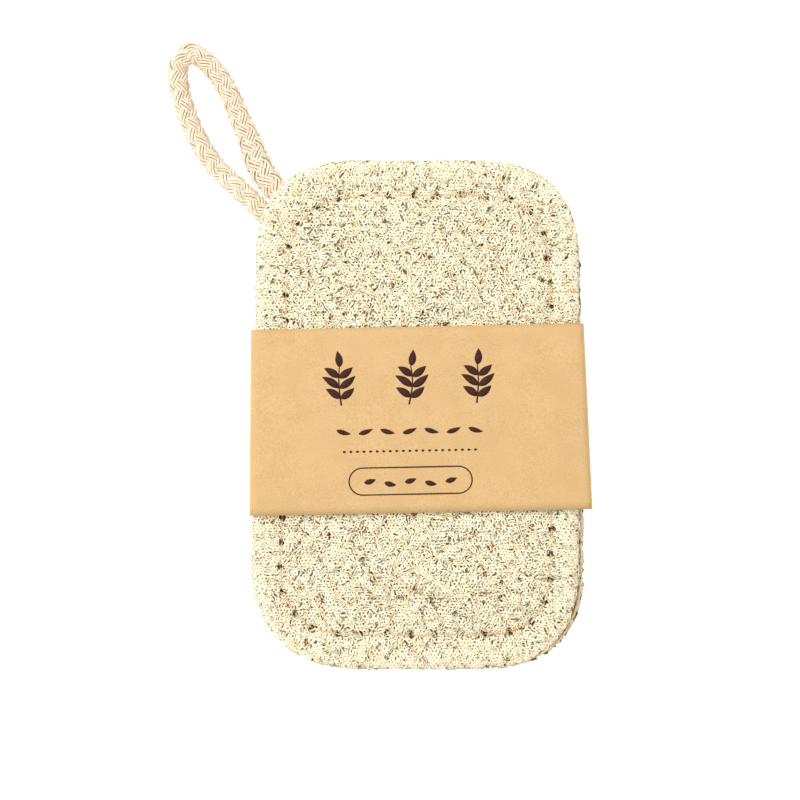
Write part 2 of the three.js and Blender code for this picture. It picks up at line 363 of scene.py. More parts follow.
def rounded_outline(corners, reaches, count):
    """Points and outward normals along a four-sided outline with curved corners."""
    corners = np.asarray(corners, dtype=float)
    share = np.linspace(0, 1, 200)[:, None]
    line = []
    for k, corner in enumerate(corners):
        start = corner + reaches[k] * unit(corners[k - 1] - corner)
        end = corner + reaches[k] * unit(corners[(k + 1) % 4] - corner)
        line.append((1 - share) ** 2 * start + 2 * share * (1 - share) * corner + share ** 2 * end)
    line = np.vstack(line + [line[0][:1]])
    lengths = run_along(line)
    points = at_lengths(line, lengths, np.arange(count) * lengths[-1] / count)
    along = unit(np.roll(points, -1, axis=0) - np.roll(points, 1, axis=0))
    return points, np.stack([along[:, 1], -along[:, 0]], axis=1)


def seam_stations():
    """Needle holes: the seam line's stations, each a little off it as in the CAD model."""
    points, normals = rounded_outline(SEAM_CORNERS, SEAM_REACHES, STITCHES)
    state = SEAM_SEED
    wobble = np.empty(STITCHES)
    for k in range(2 * STITCHES):
        state = (state * 1664525 + 1013904223) % 2 ** 32
        if k % 2 == 0:
            wobble[k // 2] = SEAM_WOBBLE * (2 * state / 2 ** 32 - 1)
    return points + wobble[:, None] * normals


def honeycomb(random, low, high, spacing):
    """Corners of an uneven honeycomb over a rectangle, and each cell's six corners, counter-clockwise."""
    row_step = spacing * math.sqrt(3) / 2
    rows = int((high[1] - low[1]) / row_step) + 3
    columns = int((high[0] - low[0]) / spacing) + rows // 2 + 4
    row, column = np.meshgrid(np.arange(rows), np.arange(columns) - rows // 2 - 1, indexing="ij")
    x = low[0] + spacing * (column + row / 2)
    y = low[1] + row_step * (row - 1)
    first = np.stack([x + spacing / 2, y + row_step / 3], axis=-1)
    second = np.stack([x + spacing, y + 2 * row_step / 3], axis=-1)
    corners = np.stack([first, second]).reshape(-1, 2)
    corners = corners + random.normal(0, NET_JITTER * spacing, corners.shape)
    one, two = np.arange(len(corners)).reshape(2, rows, columns)
    around = [one[1:, 1:], two[1:, :-1], one[1:, :-1], two[:-1, :-1], one[:-1, 1:], two[:-1, 1:]]
    return corners, np.stack(around, axis=-1).reshape(-1, 6)


def net_of_bars(corners, cells, rims, place, thickness):
    """A closed net: one bar along each cell edge, with the holes' rims halfway down its sides."""
    used, cells = np.unique(cells, return_inverse=True)
    cells = cells.reshape(-1, 6)
    corners = corners[used]
    count = len(corners)
    points = np.concatenate([
        place(corners, 0.0), place(corners, thickness), place(rims.reshape(-1, 2), thickness / 2),
    ])
    rim = 2 * count + np.arange(cells.size).reshape(-1, 6)
    after = np.roll(cells, -1, axis=1)
    rim_after = np.roll(rim, -1, axis=1)
    upper = np.stack([cells, after, rim_after, rim], axis=-1).reshape(-1, 4)
    lower = np.stack([rim, rim_after, after + count, cells + count], axis=-1).reshape(-1, 4)
    edges = np.stack([cells, after], axis=-1).reshape(-1, 2)
    ends = np.sort(edges, axis=1)
    _, place_of, uses = np.unique(ends[:, 0] * count + ends[:, 1], return_index=True, return_counts=True)
    border = edges[place_of[uses == 1]]
    sides = np.stack([border[:, 1], border[:, 0], border[:, 0] + count, border[:, 1] + count], axis=-1)
    return points, np.concatenate([upper, lower, sides])


class Raster:
    """Values on a grid over the pad, blended between its points."""

    def __init__(self, values, step):
        self.values = values
        self.step = step

    def at(self, x, y):
        u = np.clip((x - GRID_LOW[0]) / self.step, 0, self.values.shape[0] - 1.001)
        v = np.clip((y - GRID_LOW[1]) / self.step, 0, self.values.shape[1] - 1.001)
        i = u.astype(int)
        j = v.astype(int)
        u = u - i
        v = v - j
        near = self.values[i, j] * (1 - v) + self.values[i, j + 1] * v
        far = self.values[i + 1, j] * (1 - v) + self.values[i + 1, j + 1] * v
        return near * (1 - u) + far * u


def vectors_at(fields, flat):
    """Vectors of a pair of rasters at places."""
    return np.stack([field.at(flat[..., 0], flat[..., 1]) for field in fields], axis=-1)


def grid_points(step):
    x = np.arange(GRID_LOW[0], -GRID_LOW[0] + step, step)
    y = np.arange(GRID_LOW[1], -GRID_LOW[1] + step, step)
    return np.meshgrid(x, y, indexing="ij")


def inside_distance(points, normals):
    """How far inside the outline each grid point lies; negative outside."""
    x, y = grid_points(GRID_STEP)
    values = np.empty(x.shape)
    for i in range(len(x)):
        offset = np.stack([x[i], y[i]], axis=1)[:, None] - points[None]
        distance = np.linalg.norm(offset, axis=2)
        nearest = distance.argmin(axis=1)
        rows = np.arange(len(nearest))
        outward = (offset[rows, nearest] * normals[nearest]).sum(axis=1)
        values[i] = -np.sign(outward) * distance[rows, nearest]
    return values


def waves(random, count, shortest, longest):
    """A smooth random function of place, about -1 to 1."""
    length = random.uniform(shortest, longest, count)
    heading = random.uniform(0, TURN, count)
    phase = random.uniform(0, TURN, count)
    kx = TURN / length * np.cos(heading)
    ky = TURN / length * np.sin(heading)
    scale = (2 / count) ** 0.5

    def value(x, y):
        total = np.zeros(np.shape(x))
        for k in range(count):
            total += np.sin(kx[k] * x + ky[k] * y + phase[k])
        return scale * total
    return value


class Sheet:
    """One face of the pad: its outline, height above the parting plane and grain of its fibres."""

    def __init__(self, corners, side, seed):
        self.random = np.random.default_rng(seed)
        self.side = side
        self.outline, self.normals = rounded_outline(corners, PAD_REACHES, OUTLINE_STATIONS)
        self.outline = EDGE_GROWTH * self.outline
        self.closed = np.vstack([self.outline, self.outline[:1]])
        self.places = run_along(self.closed)
        self.girth = self.places[-1]
        edge = inside_distance(self.outline, self.normals)
        seam_line, seam_normals = rounded_outline(SEAM_CORNERS, SEAM_REACHES, OUTLINE_STATIONS)
        self.edge = Raster(edge, GRID_STEP)
        self.seam = Raster(np.abs(inside_distance(seam_line, seam_normals)), GRID_STEP)
        slopes = np.gradient(edge, GRID_STEP)
        self.inward = [Raster(slope, GRID_STEP) for slope in slopes]
        self.relief = waves(self.random, 16, 6, 14)
        self.flow = waves(self.random, 14, 6, 16)
        self.warp = [waves(self.random, 24, 1.4, 4) for _ in range(2)]
        self.patches = waves(self.random, 12, 4, 12)
        self.ragged = waves(self.random, 16, 1.5, 5)
        self.needles = seam_stations()
        pits = self.random.uniform((-37, -57), (37, 57), (PITS, 2))
        self.pits = np.vstack([self.needles, pits])
        self.push, self.open = self.pores()

    def pores(self):
        """How far fibres are pushed aside round pores and needle holes, and how open the net is there."""
        x, y = grid_points(PORE_GRID_STEP)
        push = np.zeros((2,) + x.shape)
        wide_open = np.zeros(x.shape)
        wide = np.arange(-38, 38, PORE_SPACING)
        long = np.arange(-58, 58, PORE_SPACING)
        places = np.stack(np.meshgrid(wide, long), axis=-1).reshape(-1, 2)
        places = places + self.random.uniform(-0.5, 0.5, places.shape) * PORE_SPACING
        radii = self.random.uniform(*PORE_RADII, len(places))
        places = np.vstack([places, self.needles])
        radii = np.concatenate([radii, np.full(STITCHES, NEEDLE_RADIUS)])
        for (px, py), radius in zip(places, radii):
            i = int((px - GRID_LOW[0]) / PORE_GRID_STEP)
            j = int((py - GRID_LOW[1]) / PORE_GRID_STEP)
            window = tuple(slice(max(k - PORE_WINDOW, 0), k + PORE_WINDOW + 1) for k in (i, j))
            dx = x[window] - px
            dy = y[window] - py
            r = np.maximum(np.hypot(dx, dy), 0.05)
            fade = np.clip(1.6 - r / (2 * radius + 0.6), 0, 1)
            grow = (np.sqrt(r * r + radius * radius) - r) * fade
            push[0][window] += grow * dx / r
            push[1][window] += grow * dy / r
            wide_open[window] = np.maximum(wide_open[window], np.exp(-(r / (1.1 * radius + 0.25)) ** 4))
        return [Raster(part, PORE_GRID_STEP) for part in push], Raster(wide_open, PORE_GRID_STEP)

    def height(self, x, y):
        """Height of the face above the parting plane."""
        edge = self.edge.at(x, y)
        inset = np.clip(1 - edge / EDGE_RADIUS, 0, 1)
        drop = EDGE_RADIUS * (1 - np.sqrt(1 - inset * inset)) + 1.5 * np.clip(-edge, 0, None)
        dip = SEAM_DIP * np.exp(-(self.seam.at(x, y) / SEAM_DIP_WIDTH) ** 2)
        return CROWN - drop - dip - FACE_WAVE * (1 + self.relief(x, y) / 2)

    def grain(self, x, y):
        """Direction of the fibres: wandering inside, outward near the cut edge."""
        angle = FLOW_TURN * self.flow(x, y)
        outward = np.arctan2(self.inward[1].at(x, y), self.inward[0].at(x, y))
        pull = RIM_PULL * np.exp(-(self.edge.at(x, y) / RIM_WIDTH) ** 2)
        sine = np.sin(angle) + pull * np.sin(2 * outward)
        cosine = np.cos(angle) + pull * np.cos(2 * outward)
        return np.arctan2(sine, cosine) / 2

    def hole_rims(self, corners, cells, along, opening=0.0):
        """Rims of the holes of a net: each cell drawn in towards its middle, less along the grain."""
        ring = corners[cells]
        middle = ring.mean(axis=1, keepdims=True)
        share = self.random.normal(HOLE_SHARE, HOLE_SPREAD, len(cells))
        share = np.clip(share + opening, *HOLE_LIMITS)[:, None, None]
        axis = np.stack([np.cos(along), np.sin(along)], axis=-1)[:, None]
        offset = ring - middle
        run = (offset * axis).sum(axis=-1, keepdims=True) * axis
        return middle + share * (HOLE_STRETCH * run + (offset - run) / HOLE_STRETCH)

    def raised(self, flat, level):
        """Points at a height above the parting plane, on this sheet's side of it."""
        return np.concatenate([flat, (PARTING + self.side * level)[..., None]], axis=-1)

    def edge_spots(self, places):
        """Points and outward normals of the cut edge, at places along it."""
        here = places % self.girth
        station = (here / self.girth * OUTLINE_STATIONS).astype(int) % OUTLINE_STATIONS
        return at_lengths(self.closed, self.places, here), self.normals[station]

    def whole_cells(self, middle, spacing, deep):
        """Which cells of a net are left where pits and needle holes take some out."""
        pits = self.pits[:STITCHES + PITS // 3] if deep else self.pits
        reach = spacing * np.where(np.arange(len(pits)) < STITCHES, NEEDLE_SHARE, PIT_SHARE)
        return (np.linalg.norm(middle[:, None] - pits, axis=2) > reach).all(axis=1)

    def openings(self, middle, before):
        """How much more or less than the usual share of each cell is open."""
        opening = OPEN_SHARE * self.open.at(*before.T) + HOLE_PATCHES * self.patches(*middle.T)
        opening = opening - EDGE_CLOSING * np.exp(-(self.edge.at(*middle.T) / CLOSING_WIDTH) ** 2)
        near = np.linalg.norm(before[:, None] - self.needles, axis=2).min(axis=1)
        return opening - NEEDLE_COLLAR * np.exp(-(near / COLLAR_WIDTH) ** 2)

    def net(self, parts, spacing, depth, tone, keep):
        """Adds a net of fibre that follows the face at a depth below it, where keep says so."""
        corners, cells = honeycomb(self.random, np.negative(NET_HALF), NET_HALF, spacing)
        corners = corners + NET_WARP * np.stack([warp(*corners.T) for warp in self.warp], axis=1)
        before = corners[cells].mean(axis=1)
        corners = corners + vectors_at(self.push, corners)
        middle = corners[cells].mean(axis=1)
        kept = (self.edge.at(*middle.T) > NET_EDGE) & keep(middle)
        kept &= self.whole_cells(before, spacing, depth > 0)
        cells = cells[kept]
        limit = EDGE_RAGGED[0] + EDGE_RAGGED[1] * self.ragged(*corners.T)
        out = np.clip(limit - self.edge.at(*corners.T), 0, None)
        corners = corners + out[:, None] * vectors_at(self.inward, corners)
        middle = corners[cells].mean(axis=1)
        along = self.grain(*middle.T) + self.random.normal(0, PORE_ANGLE_SPREAD, len(cells))
        rims = self.hole_rims(corners, cells, along, self.openings(middle, before[kept]))
        wander = waves(self.random, 12, 1.6, 4)

        def place(flat, down):
            level = self.height(flat[:, 0], flat[:, 1]) - depth - down
            level = level + NET_WANDER * wander(flat[:, 0], flat[:, 1])
            return self.raised(flat, level)

        self.add_net(parts, corners, cells, rims, place, tone)

    def add_net(self, parts, corners, cells, rims, place, tone):
        """Adds a net whose bars carry painted shade: browner down their sides and underneath."""
        points, faces = net_of_bars(corners, cells, rims, place, NET_THICKNESS)
        faces = faces if self.side > 0 else faces[:, ::-1]
        count = (len(points) - cells.size) // 2
        shade = tone + NET_TONES * self.flow(points[:, 0] * 3, points[:, 1] * 3)
        # Painted shade: a lower, browner tone under each bar and down its sides into the holes
        shade[count:2 * count] -= PAINTED_UNDER_SHADE
        shade[2 * count:] -= PAINTED_SIDE_SHADE
        parts.add(clear_of_cord(points), [faces], shade)

    def rim_net(self, parts, spacing, depth, tone):
        """Adds the net round the cut edge, from the parting plane to the rounded edge of the face."""
        tall = CROWN - EDGE_RADIUS + RIM_NET_LAP
        corners, cells = honeycomb(self.random, (0, 0), (self.girth, tall), spacing)
        middle = corners[cells].mean(axis=1)
        spot, _ = self.edge_spots(middle[:, 0])
        shown = np.abs(band_frame(spot)[:, 1]) > BAND_COVER
        inside = ((middle > 0) & (middle < (self.girth, tall))).all(axis=1)
        cells = cells[shown & inside]
        corners[:, 1] = np.clip(corners[:, 1], RIM_FOOT, tall)
        rims = self.hole_rims(corners, cells, self.random.normal(0, RIM_TURN, len(cells)))

        def place(flat, down):
            spot, normal = self.edge_spots(flat[:, 0])
            inset = depth + down + RIM_NET_TUCK * (1 - flat[:, 1] / tall) ** 2
            return self.raised(spot - inset[:, None] * normal, flat[:, 1])

        self.add_net(parts, corners, cells, rims, place, tone)

    def seeds(self, count):
        """Even but jittered places for fibres, fewer where the paper band hides them."""
        spacing = math.sqrt(FIELD_AREA / count)
        x = np.arange(-44, 44, spacing)
        y = np.arange(-64, 64, spacing)
        places = np.stack(np.meshgrid(x, y), axis=-1).reshape(-1, 2)
        places = places + self.random.uniform(-0.6, 0.6, places.shape) * spacing
        hidden = np.abs(band_frame(places)[:, 1]) < BAND_COVER
        kept = self.random.random(len(places)) < np.where(hidden, HIDDEN_SHARE, 1)
        inside = self.edge.at(places[:, 0], places[:, 1]) > 0
        return places[kept & inside]

    def trace(self, seeds, steps, step, wiggle):
        """Rows of points that follow the grain from each seed and turn aside at the cut edge."""
        count = len(seeds)
        lean = self.random.normal(0, FIBRE_LEAN, count)
        phase = self.random.uniform(0, TURN, count)
        length = self.random.uniform(*WIGGLE_LENGTHS, count)
        stray = self.random.uniform(*RIM_STRAY, count)
        last = self.random.choice([-1.0, 1.0], (count, 1)) * np.ones((1, 2))
        rows = [seeds]
        for k in range(1, steps):
            here = rows[-1]
            angle = self.grain(*here.T) + lean + wiggle * np.sin(phase + TURN * k * step / length)
            move = np.stack([np.cos(angle), np.sin(angle)], axis=1)
            move *= np.where((move * last).sum(axis=1) < 0, -1, 1)[:, None]
            there = here + step * move
            banded = np.abs(band_frame(there)[:, 1]) < BAND_LENGTH / 2 + 1
            out = np.clip(np.where(banded, BAND_KEEP, stray) - self.edge.at(*there.T), 0, None)
            there = there + out[:, None] * vectors_at(self.inward, there)
            last = move
            rows.append(there)
        return np.stack(rows, axis=1)

    def add_fibres(self, parts, paths, radius, tone, up):
        """Adds three-sided fibres of slightly uneven width and tone along paths."""
        count, steps = paths.shape[:2]
        radii = radius * self.random.uniform(*WIDTH_SPREAD, (count, 1)) * taper(steps)
        points, faces = tubes(paths, radii, 3, up)
        shade = tone + self.random.normal(0, SHADE_SPREAD, count)
        parts.add(points, faces, np.repeat(shade, steps * 3))

    def lay(
        self, parts, cover, depth, tone, radius,
        step=FIBRE_STEP, wiggle=FIBRE_WIGGLE, groups=LENGTH_GROUPS,
    ):
        """Adds one layer of fibres at a depth below the face; cover is the share of it they would fill."""
        for steps, share in groups:
            fibre_area = 2 * radius * step * (steps - 1)
            seeds = self.seeds(cover * share * FIELD_AREA / fibre_area)
            flat = self.trace(seeds, steps, step, wiggle)
            flat = flat + vectors_at(self.push, flat)
            count = len(flat)
            lift = self.random.normal(0, LIFT_SPREAD, (count, 1))
            phase = self.random.uniform(0, TURN, (count, 1))
            length = self.random.uniform(*WEAVE_LENGTHS, (count, 1))
            weave = WEAVE * np.sin(phase + TURN * step * np.arange(steps) / length)
            level = self.height(flat[..., 0], flat[..., 1]) - depth + lift + weave
            paths = clear_of_cord(self.raised(flat, level))
            self.add_fibres(parts, paths, radius, tone, (0, 0, self.side))

    def rim_runs(self, count, steps, tall):
        """Wandering fibres of the cut edge: places along it, heights, and small bends outward."""
        along = self.random.uniform(0, self.girth, (count, 1))
        rise = self.random.uniform(0, tall, (count, 1))
        lean = self.random.normal(0, RIM_LEAN, (count, 1))
        phase = self.random.uniform(0, TURN, (count, 1))
        length = self.random.uniform(*WIGGLE_LENGTHS, (count, 1))
        run = FIBRE_STEP * np.arange(steps)
        angle = lean + FIBRE_WIGGLE * np.sin(phase + TURN * run / length)
        along = along + np.cumsum(FIBRE_STEP * np.cos(angle), axis=1)
        rise = np.abs(rise + np.cumsum(FIBRE_STEP * np.sin(angle), axis=1))
        rise = np.clip(tall - np.abs(tall - rise), RIM_FOOT, tall)
        return along, rise, WEAVE * np.sin(2 * phase + TURN * run / length)

    def rim(self, parts, cover, tone):
        """Adds fibres round the cut edge, from the parting plane to the rounded edge of the face."""
        tall = CROWN - EDGE_RADIUS + RIM_LAP
        for steps, share in LENGTH_GROUPS:
            fibre_area = 2 * FIBRE_RADIUS * FIBRE_STEP * (steps - 1)
            count = int(cover * share * self.girth * tall / fibre_area)
            along, rise, weave = self.rim_runs(count, steps, tall)
            spot, normal = self.edge_spots(along)
            out = weave - RIM_TUCK * (1 - rise / tall) ** 2
            flat = spot + out[..., None] * normal
            shown = np.abs(band_frame(flat[:, 0])[:, 1]) > BAND_COVER
            up = np.concatenate([normal, np.zeros(normal.shape[:2] + (1,))], axis=-1)[shown]
            paths = clear_of_cord(self.raised(flat, rise)[shown])
            self.add_fibres(parts, paths, FIBRE_RADIUS, tone, up)

    def mat(self, parts):
        """Adds the closed inside of the sheet, from the parting plane to just below the fibre layers."""
        line = (self.outline - MAT_INSET * self.normals)[::2]
        shares = np.concatenate([np.linspace(*ring) for ring in MAT_RINGS])
        top = shares[:, None, None] * line[None]
        low = np.linspace(1, 0.02, MAT_FLOOR_RINGS)[:, None, None] * line[None]
        near = np.linalg.norm(top[:, :, None] - self.needles, axis=-1).min(axis=2)
        pit = np.exp(-(near / MAT_PIT) ** 2)
        floor = self.cord_roof(low)
        level = self.height(top[..., 0], top[..., 1]) - MAT_DEPTH - MAT_GROOVE * pit
        level = np.maximum(level, self.cord_roof(top) + MAT_ROOF)
        skin = np.concatenate([
            np.concatenate([low, floor[..., None]], axis=-1)[::-1],
            np.concatenate([top, level[..., None]], axis=-1),
        ])
        skin[..., 2] = PARTING + self.side * skin[..., 2]
        rings, around = skin.shape[:2]
        index = np.arange(rings * around).reshape(rings, around)
        beside = np.roll(index, -1, axis=1)
        walls = np.stack([index[:-1], beside[:-1], beside[1:], index[1:]], axis=-1).reshape(-1, 4)
        caps = np.stack([index[0, ::-1], index[-1]])
        if self.side < 0:
            walls = walls[:, ::-1]
            caps = caps[:, ::-1]
        # Painted shade: the tone drops towards near-black in the pits at the needle holes
        tone = np.concatenate([np.ones(floor.size), 1 - pit.ravel()])
        parts.add(skin.reshape(-1, 3), [walls, caps], tone)

    def cord_roof(self, flat):
        """Lowest height of the sheet above the parting plane, raised where the cord runs under it."""
        offset = np.linalg.norm(flat[:, :, None] - CORD_LINE[None, None, ::4, :2], axis=-1).min(axis=2)
        return np.maximum(MAT_FLOOR, np.sqrt(np.clip(CORD_CLEAR ** 2 - offset ** 2, 0, None)))


def band_frame(places):
    """Places on the pad, as across and along the paper band from its middle."""
    x = places[..., 0] - BAND_CENTRE[0]
    y = places[..., 1] - BAND_CENTRE[1]
    across = x * math.cos(BAND_TURN) + y * math.sin(BAND_TURN)
    along = y * math.cos(BAND_TURN) - x * math.sin(BAND_TURN)
    return np.stack([across, along], axis=-1)


band_ripple = waves(np.random.default_rng(8), 10, 18, 45)
CORD_LINE = smooth_line(CORD_ROUTE, YARN_STEP)
CORD_LENGTH = float(np.linalg.norm(np.diff(CORD_LINE, axis=0), axis=1).sum())


def clear_of_cord(paths):
    """Fibres that would run through the cord are pushed out to its surface."""
    flat = paths.reshape(-1, 3).copy()
    low = CORD_LINE.min(axis=0) - CORD_CLEAR
    high = CORD_LINE.max(axis=0) + CORD_CLEAR
    near = np.nonzero(np.all((flat > low) & (flat < high), axis=1))[0]
    if len(near):
        offset = flat[near, None] - CORD_LINE[None, ::2]
        distance = np.linalg.norm(offset, axis=2)
        nearest = distance.argmin(axis=1)
        rows = np.arange(len(near))
        reach = np.maximum(distance[rows, nearest], 1e-3)
        grow = np.maximum(CORD_CLEAR / reach, 1) - 1
        flat[near] += grow[:, None] * offset[rows, nearest]
    return flat.reshape(paths.shape)


def cord_frames(line):
    along = unit(np.gradient(line, axis=0))
    across = unit(np.cross(along, (0, 0, 1)))
    return across, np.cross(across, along)


def flattened_cord():
    """The cord's line and its frame, widened towards the loop's inside where it is pressed flat."""
    line = CORD_LINE + (0, 0, CORD_RAISE)
    across, lift = cord_frames(line)
    run = np.linspace(0, CORD_LENGTH, len(line))
    widen = 1 + FLAT_GROWTH * np.exp(-((run / CORD_LENGTH - FLAT_PLACE) / FLAT_REACH) ** 2)[:, None]
    line = line + (widen - 1) * BRAID_RADIUS * across
    return line, widen * across, lift / widen ** 0.5, run


def yarn_course(run, way, strand, aside):
    """Angle round the cord and distance from its middle, along one yarn of a strand that winds one way."""
    middle = BRAID_RADIUS - BRAID_LIFT - YARN_RADIUS
    slant = math.atan2(TURN * middle, BRAID_PITCH)
    crossing = BRAID_PITCH / (2 * BRAID_STRANDS)
    place = run + way * aside * math.sin(slant)
    angle = way * TURN * place / BRAID_PITCH + TURN * strand / BRAID_STRANDS + BRAID_START
    angle = angle + aside * math.cos(slant) / middle
    wave = way * np.cos(math.pi * place / crossing)
    crown = STRAND_CROWN * (aside / YARN_SPACING) ** 2 / YARN_REACH ** 2
    return angle, middle + BRAID_LIFT * wave - crown


def hang_loop(material):
    """The loop: an eight-strand braid, four strands each way, each strand of parallel yarns."""
    line, across, lift, run = flattened_cord()
    # Painted shade: each yarn's tone falls from its outward side to its inward side, darkest in the
    # grooves between yarns
    painted_yarn_shade = 0.5 + 0.5 * np.cos(TURN * np.arange(YARN_SIDES) / YARN_SIDES)
    shades = np.random.default_rng(3)
    parts = Parts()
    for way, strand, yarn in itertools.product((1, -1), range(BRAID_STRANDS), range(YARNS)):
        angle, radius = yarn_course(run, way, strand, (yarn - YARN_REACH) * YARN_SPACING)
        offset = np.cos(angle)[:, None] * across + np.sin(angle)[:, None] * lift
        path = line + radius[:, None] * offset
        points, faces = tubes(path[None], YARN_RADIUS, YARN_SIDES, offset)
        parts.add(points, faces, np.tile(painted_yarn_shade, len(line)) + shades.normal(0, YARN_TONES))
    points, faces = tubes(line[None], CORD_CORE, CORE_SIDES, lift)
    parts.add(points, faces, CORE_TONE)
    piece = parts.piece("hang_loop_braid", material, "cord", "hang_loop")
    path = [tuple(MM * value for value in point) for point in line]
    return piece


def seam_thread(sheet, name, material, node):
    """Stitches of one face: a twisted thread that dives into each needle hole."""
    holes = seam_stations()
    following = np.roll(holes, -1, axis=0)
    share = np.linspace(0, 1, STITCH_POINTS, endpoint=False)
    flat = holes[:, None] + share[None, :, None] * (following - holes)[:, None]
    rise = 1 - np.abs(2 * share - 1) ** STITCH_SHARPNESS
    level = sheet.height(flat[..., 0], flat[..., 1]) + STITCH_RISE - STITCH_DIVE * (1 - rise)
    line = sheet.raised(flat, level).reshape(-1, 3)
    line = evenly(np.vstack([line, line[:1]]), THREAD_STEP)
    run = run_along(line)
    along = unit(np.gradient(line, axis=0))
    across = unit(np.cross(along, (0, 0, sheet.side)))
    lift = np.cross(across, along)
    parts = Parts()
    for ply in (0, 1):
        angle = TURN * run / PLY_PITCH + math.pi * ply
        offset = np.cos(angle)[:, None] * across + np.sin(angle)[:, None] * lift
        points, faces = tubes((line + PLY_OFFSET * offset)[None], PLY_RADIUS, PLY_SIDES, offset)
        parts.add(points, faces, 0.5)
    return parts.piece(name, material, "thread", node)


def band_section():
    """Middle line of the paper across the pad, from its outer end at the back round to its inner end."""
    half = (BAND_TOP_WIDTH + BAND_BOTTOM_WIDTH) / 4 - BAND_LOW
    line = [(LAP_HALF, BAND_LOW)]
    creases = ((-1, BAND_LOW, 0.75), (-1, BAND_HIGH, 0.5), (1, BAND_HIGH, 0.25), (1, BAND_LOW, 0))
    for side, level, first in creases:
        x = side * (half - CREASE_RADIUS)
        z = level + CREASE_RADIUS if level == BAND_LOW else level - CREASE_RADIUS
        for k in range(7):
            angle = TURN * (first - k / 24)
            line.append((x + CREASE_RADIUS * math.cos(angle), z + CREASE_RADIUS * math.sin(angle)))
    under = LAP_HALF + LAP_GAP
    line += [(under + LAP_STEP, BAND_LOW), (under, LAP_LEVEL), (-LAP_HALF, LAP_LEVEL)]
    return np.asarray(line)


def on_pad(wide, long):
    """Places across and along the paper band, as x and y on the pad."""
    x = BAND_CENTRE[0] + wide * math.cos(BAND_TURN) - long * math.sin(BAND_TURN)
    y = BAND_CENTRE[1] + wide * math.sin(BAND_TURN) + long * math.cos(BAND_TURN)
    return x, y


def strip_faces(rows, columns):
    """Faces of a closed strip, from its outer and inner layers of points."""
    index = np.arange(2 * rows * columns).reshape(2, rows, columns)
    here = index[:, :-1]
    ahead = index[:, 1:]
    outer = [here[0, :, :-1], ahead[0, :, :-1], ahead[0, :, 1:], here[0, :, 1:]]
    inner = [here[1, :, :-1], here[1, :, 1:], ahead[1, :, 1:], ahead[1, :, :-1]]
    layers = [np.stack(layer, axis=-1).reshape(-1, 4) for layer in (outer, inner)]
    loop = np.concatenate([
        index[:, 0, :].T, index[:, 1:, -1].T, index[:, -1, -2::-1].T, index[:, -2:0:-1, 0].T,
    ])
    beside = np.roll(loop, -1, axis=0)
    edge = np.stack([loop[:, 0], beside[:, 0], beside[:, 1], loop[:, 1]], axis=-1)
    return np.concatenate(layers + [edge])


def paper_band(material):
    """The strip of paper, a little wider at its foot, with slow ripples on its front."""
    section = evenly(band_section(), PAPER_STEP)
    stations = np.linspace(-0.5, 0.5, PAPER_STATIONS)
    along = unit(np.gradient(section, axis=0))
    outward = np.stack([along[:, 1], -along[:, 0]], axis=1)
    outward = -outward if outward[len(section) // 2, 1] < 0 else outward
    mean = (BAND_TOP_WIDTH + BAND_BOTTOM_WIDTH) / 2
    widths = BAND_BOTTOM_WIDTH + (BAND_TOP_WIDTH - BAND_BOTTOM_WIDTH) * (stations[None] + 0.5)
    layers = []
    for side in (1, -1):
        x, z = (section + side * PAPER / 2 * outward).T
        wide = x[:, None] * widths / mean
        long = np.broadcast_to(stations[None] * BAND_LENGTH, wide.shape)
        front = np.clip((z - RIPPLE_FROM) / RIPPLE_FADE, 0, 1)[:, None]
        lift = front * PAPER_RIPPLE * band_ripple(wide, long)
        layers.append(np.stack([*on_pad(wide, long), z[:, None] + lift], axis=-1))
    parts = Parts()
    points = np.concatenate([layer.reshape(-1, 3) for layer in layers])
    parts.add(points, [strip_faces(*layers[0].shape[:2])], 0.5)
    return parts.piece("paper_band_strip", material, "paper", "paper_band")


def ribbon(parts, line, widths, closed=False):
    """Adds a thin closed strip of ink on the band's front, along a line in the band's own directions."""
    line = np.asarray(line, dtype=float)
    if closed:
        run = np.roll(line, -1, axis=0) - np.roll(line, 1, axis=0)
    else:
        run = np.gradient(line, axis=0)
    run = unit(run)
    aside = np.stack([-run[:, 1], run[:, 0]], axis=1) * np.broadcast_to(widths, len(line))[:, None] / 2
    left = band_front(line + aside)
    right = band_front(line - aside)
    rise = np.array((0, 0, INK_RISE))
    sink = np.array((0, 0, -INK_SINK))
    points = np.stack([left + rise, right + rise, right + sink, left + sink], axis=1)
    index = np.arange(4 * len(line)).reshape(-1, 4)
    ahead = np.roll(index, -1, axis=0)
    if not closed:
        index = index[:-1]
        ahead = ahead[:-1]
    beside = np.roll(index, -1, axis=1)
    beside_ahead = np.roll(ahead, -1, axis=1)
    faces = np.stack([index, beside, beside_ahead, ahead], axis=-1).reshape(-1, 4)
    if not closed:
        last = 4 * len(line) - 4 + np.arange(4)
        faces = np.concatenate([faces, [np.arange(4)[::-1], last]])
    parts.add(points.reshape(-1, 3), [faces], 0.5)


def band_front(places):
    """Points on the front of the band, from places across and along it."""
    wide, long = places.T
    level = BAND_HIGH + PAPER / 2 + PAPER_RIPPLE * band_ripple(wide, long)
    return np.stack([*on_pad(wide, long), level], axis=1)


def leaf(parts, foot, heading, length, width):
    """Adds a pointed leaf from its foot, along a heading."""
    share = np.linspace(0, 1, 11)
    bend = heading + 0.35 * (share - 0.5)
    step = length / 10 * np.stack([np.cos(bend), np.sin(bend)], axis=1)
    line = np.asarray(foot) + np.cumsum(step, axis=0) - step[0]
    ribbon(parts, line, 0.06 + width * np.sin(math.pi * share ** 0.8) ** 0.9)


